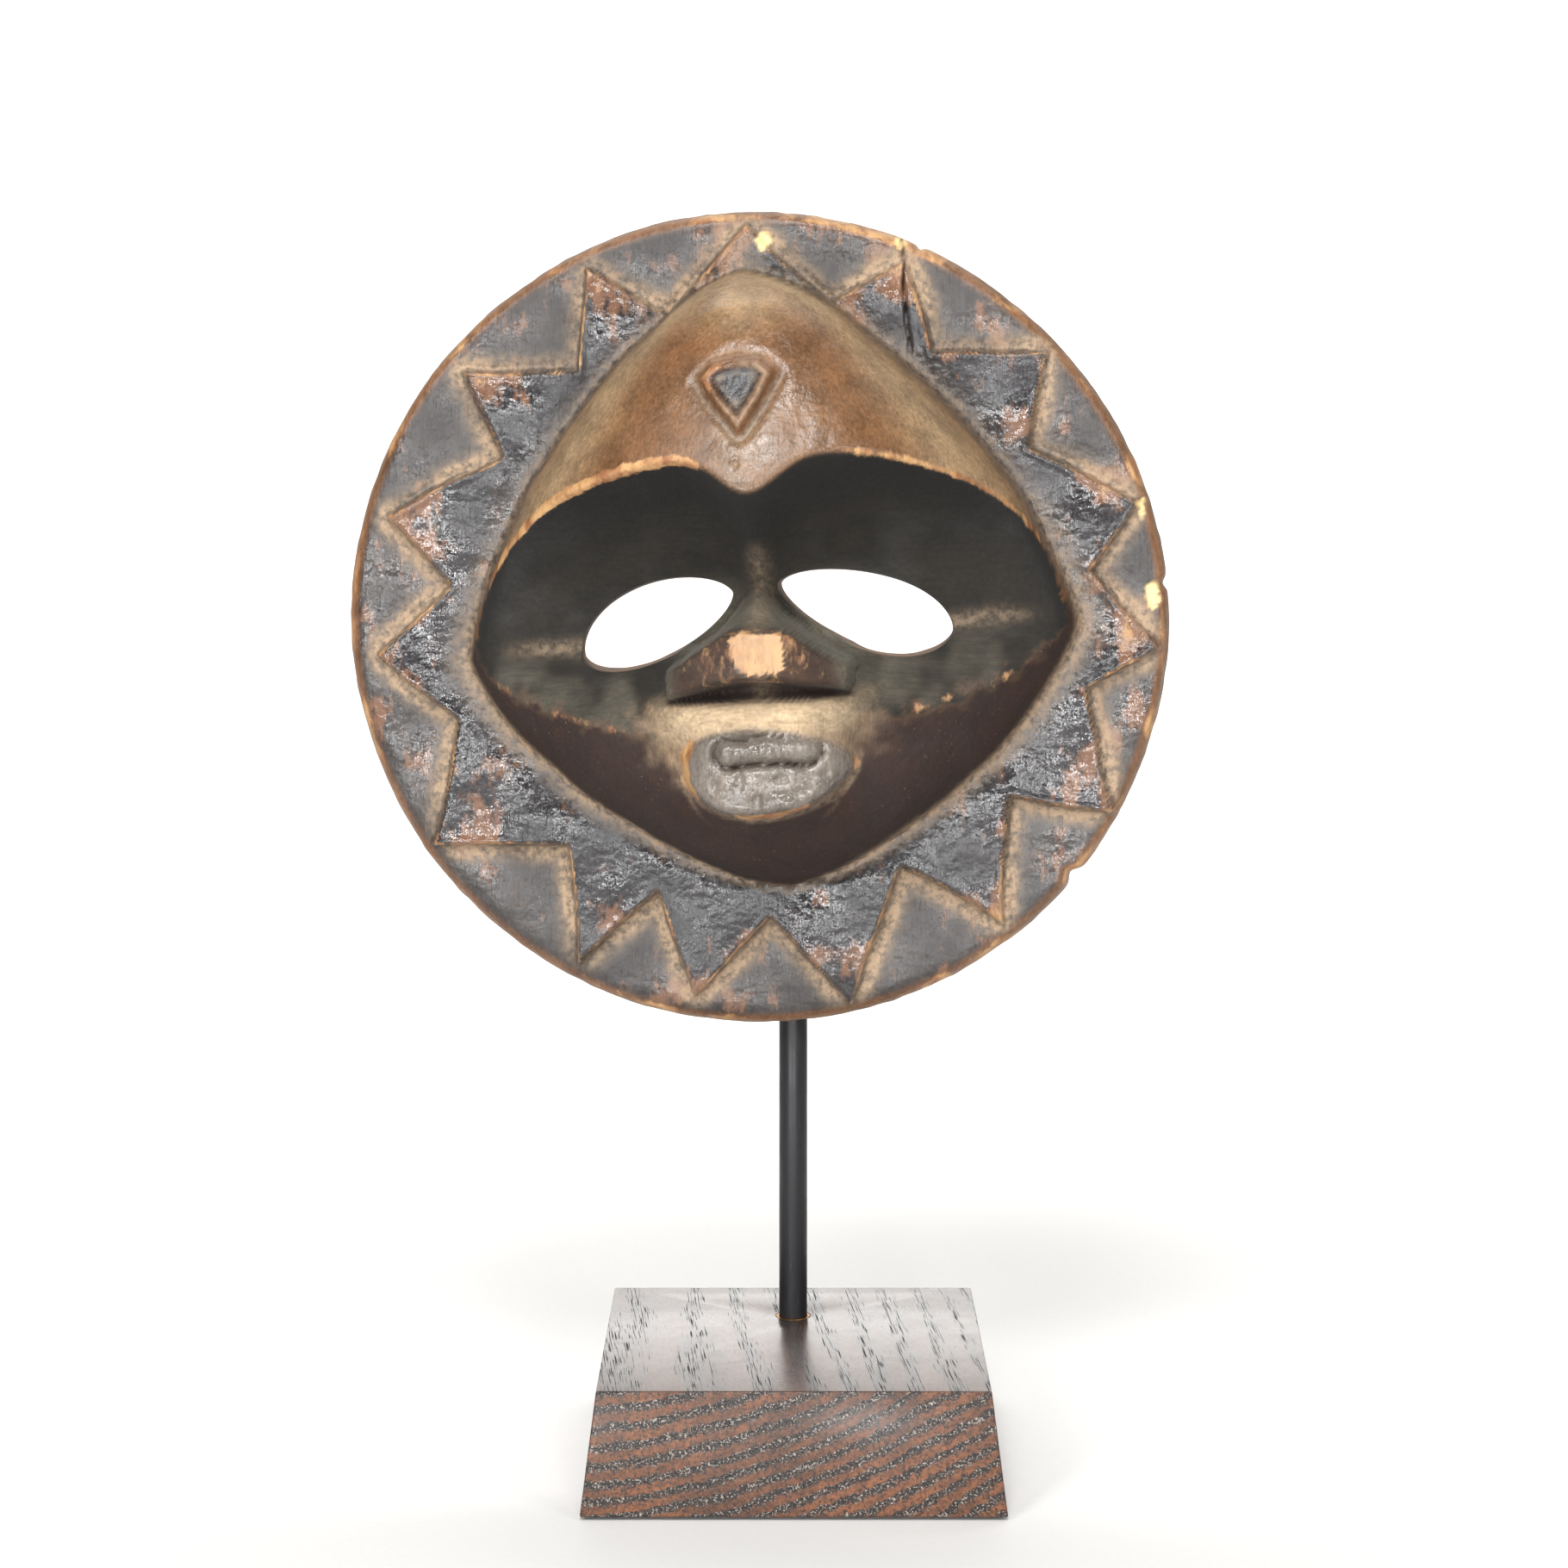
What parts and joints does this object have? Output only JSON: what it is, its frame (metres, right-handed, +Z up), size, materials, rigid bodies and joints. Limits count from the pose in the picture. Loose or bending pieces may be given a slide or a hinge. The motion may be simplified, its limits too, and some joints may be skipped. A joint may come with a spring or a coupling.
{
  "type": "carved wooden mask",
  "caption": "Carved round sun-ray face mask with a hollow back and open eyes, on a steel post that turns in a tapered wooden display base.",
  "frame": {"origin": "centre of the felt underside of the stand", "axes": "+Z up along the post, -Y the way the mask looks when its turn on the post is nil, +X to the right of someone facing the mask"},
  "size_m": [0.2214, 0.1128, 0.3442],
  "materials": {
    "mask_wood": "hand-carved, dark glossy patina, worn orange-brown edges, tan dust in the recesses",
    "base_wood": "dark-stained ring-porous wood, satin",
    "black_steel": "satin black",
    "brass": "plain turned",
    "felt": "pressed felt",
    "pad_felt": "pressed felt"
  },
  "bodies": {
    "stand": {"base_block": "base_wood", "base_felt": "felt", "socket_sleeve": "brass"},
    "mask_on_post": {"post": "black_steel", "saddle_plate": "black_steel", "saddle_pad": "pad_felt", "screw_left": "brass", "screw_right": "brass", "mask": "mask_wood"}
  },
  "joints": [
    {"name": "post_swivel", "type": "hinge", "parent": "stand", "child": "mask_on_post", "pos_m": [0, 0.022, 0.0338], "axis": [0, 0, 1], "continuous": true}
  ]
}
